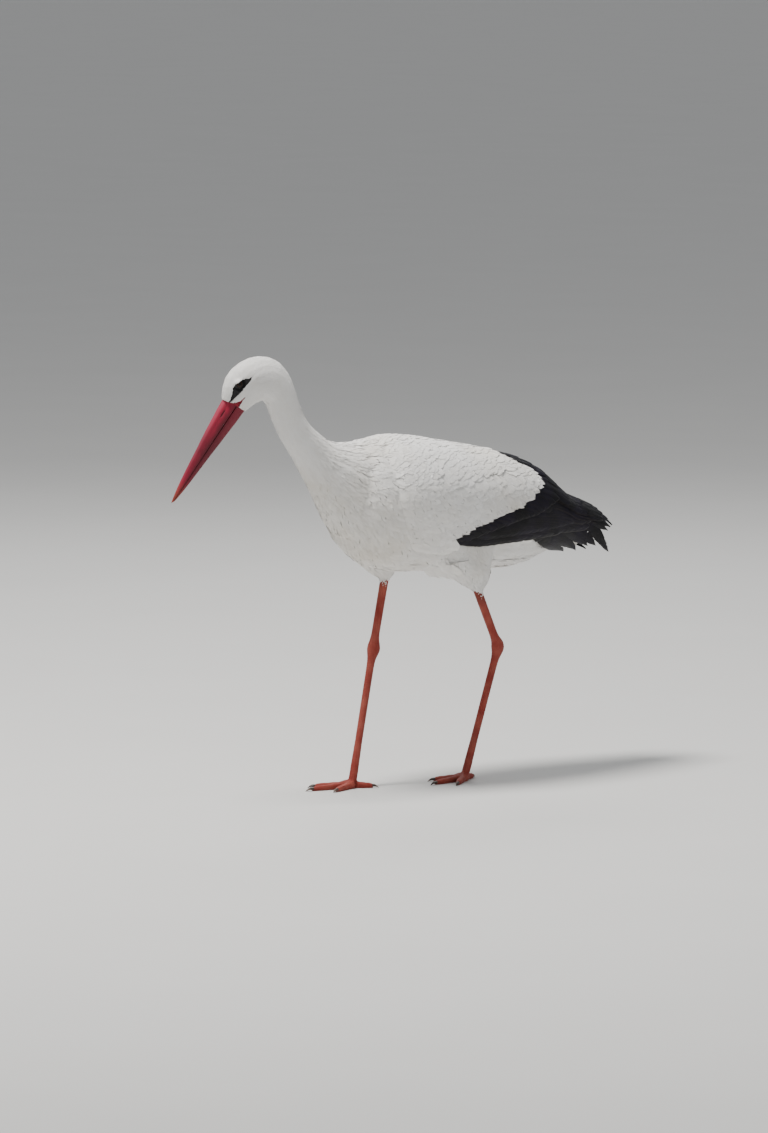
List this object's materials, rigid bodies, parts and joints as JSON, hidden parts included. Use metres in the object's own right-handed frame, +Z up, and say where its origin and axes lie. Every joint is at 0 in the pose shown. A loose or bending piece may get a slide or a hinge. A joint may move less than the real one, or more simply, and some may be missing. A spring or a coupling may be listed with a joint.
{
  "type": "white stork",
  "caption": "Life-size white stork stepping forward on red legs, neck stretched out, red bill pointing down, black wings folded under white shoulders.",
  "frame": {"origin": "middle of the bounding box in X and Y, on the floor", "axes": "-Y the way the bird faces, +X its left side, +Z up"},
  "size_m": [0.1998, 0.8683, 0.7009],
  "materials": {
    "white_plumage": "soft white feathers",
    "black_plumage": "satin black flight feathers",
    "bill": "satin red horn",
    "leg_skin": "scaled red skin",
    "claw": "dark horn",
    "eye": "wet dark brown"
  },
  "bodies": {
    "root": {"head": "white_plumage", "neck_upper": "white_plumage", "neck_lower": "white_plumage", "trunk": "white_plumage", "tail": "white_plumage", "thigh_left": "white_plumage", "thigh_right": "white_plumage", "wing_coverts_left": "white_plumage", "wing_coverts_right": "white_plumage", "wing_tertials_left": "black_plumage", "wing_tertials_right": "black_plumage", "wing_flight_left": "black_plumage", "wing_flight_right": "black_plumage", "wing_primaries_left": "black_plumage", "wing_primaries_right": "black_plumage", "bill_upper": "bill", "bill_lower": "bill", "eye_left": "eye", "eye_right": "eye", "tibia_left": "leg_skin", "ankle_left": "leg_skin", "tarsus_left": "leg_skin", "toe_middle_left": "leg_skin", "claw_middle_left": "claw", "toe_inner_left": "leg_skin", "claw_inner_left": "claw", "toe_outer_left": "leg_skin", "claw_outer_left": "claw", "toe_hind_left": "leg_skin", "claw_hind_left": "claw", "tibia_right": "leg_skin", "ankle_right": "leg_skin", "tarsus_right": "leg_skin", "toe_middle_right": "leg_skin", "claw_middle_right": "claw", "toe_inner_right": "leg_skin", "claw_inner_right": "claw", "toe_outer_right": "leg_skin", "claw_outer_right": "claw", "toe_hind_right": "leg_skin", "claw_hind_right": "claw"}
  },
  "joints": []
}
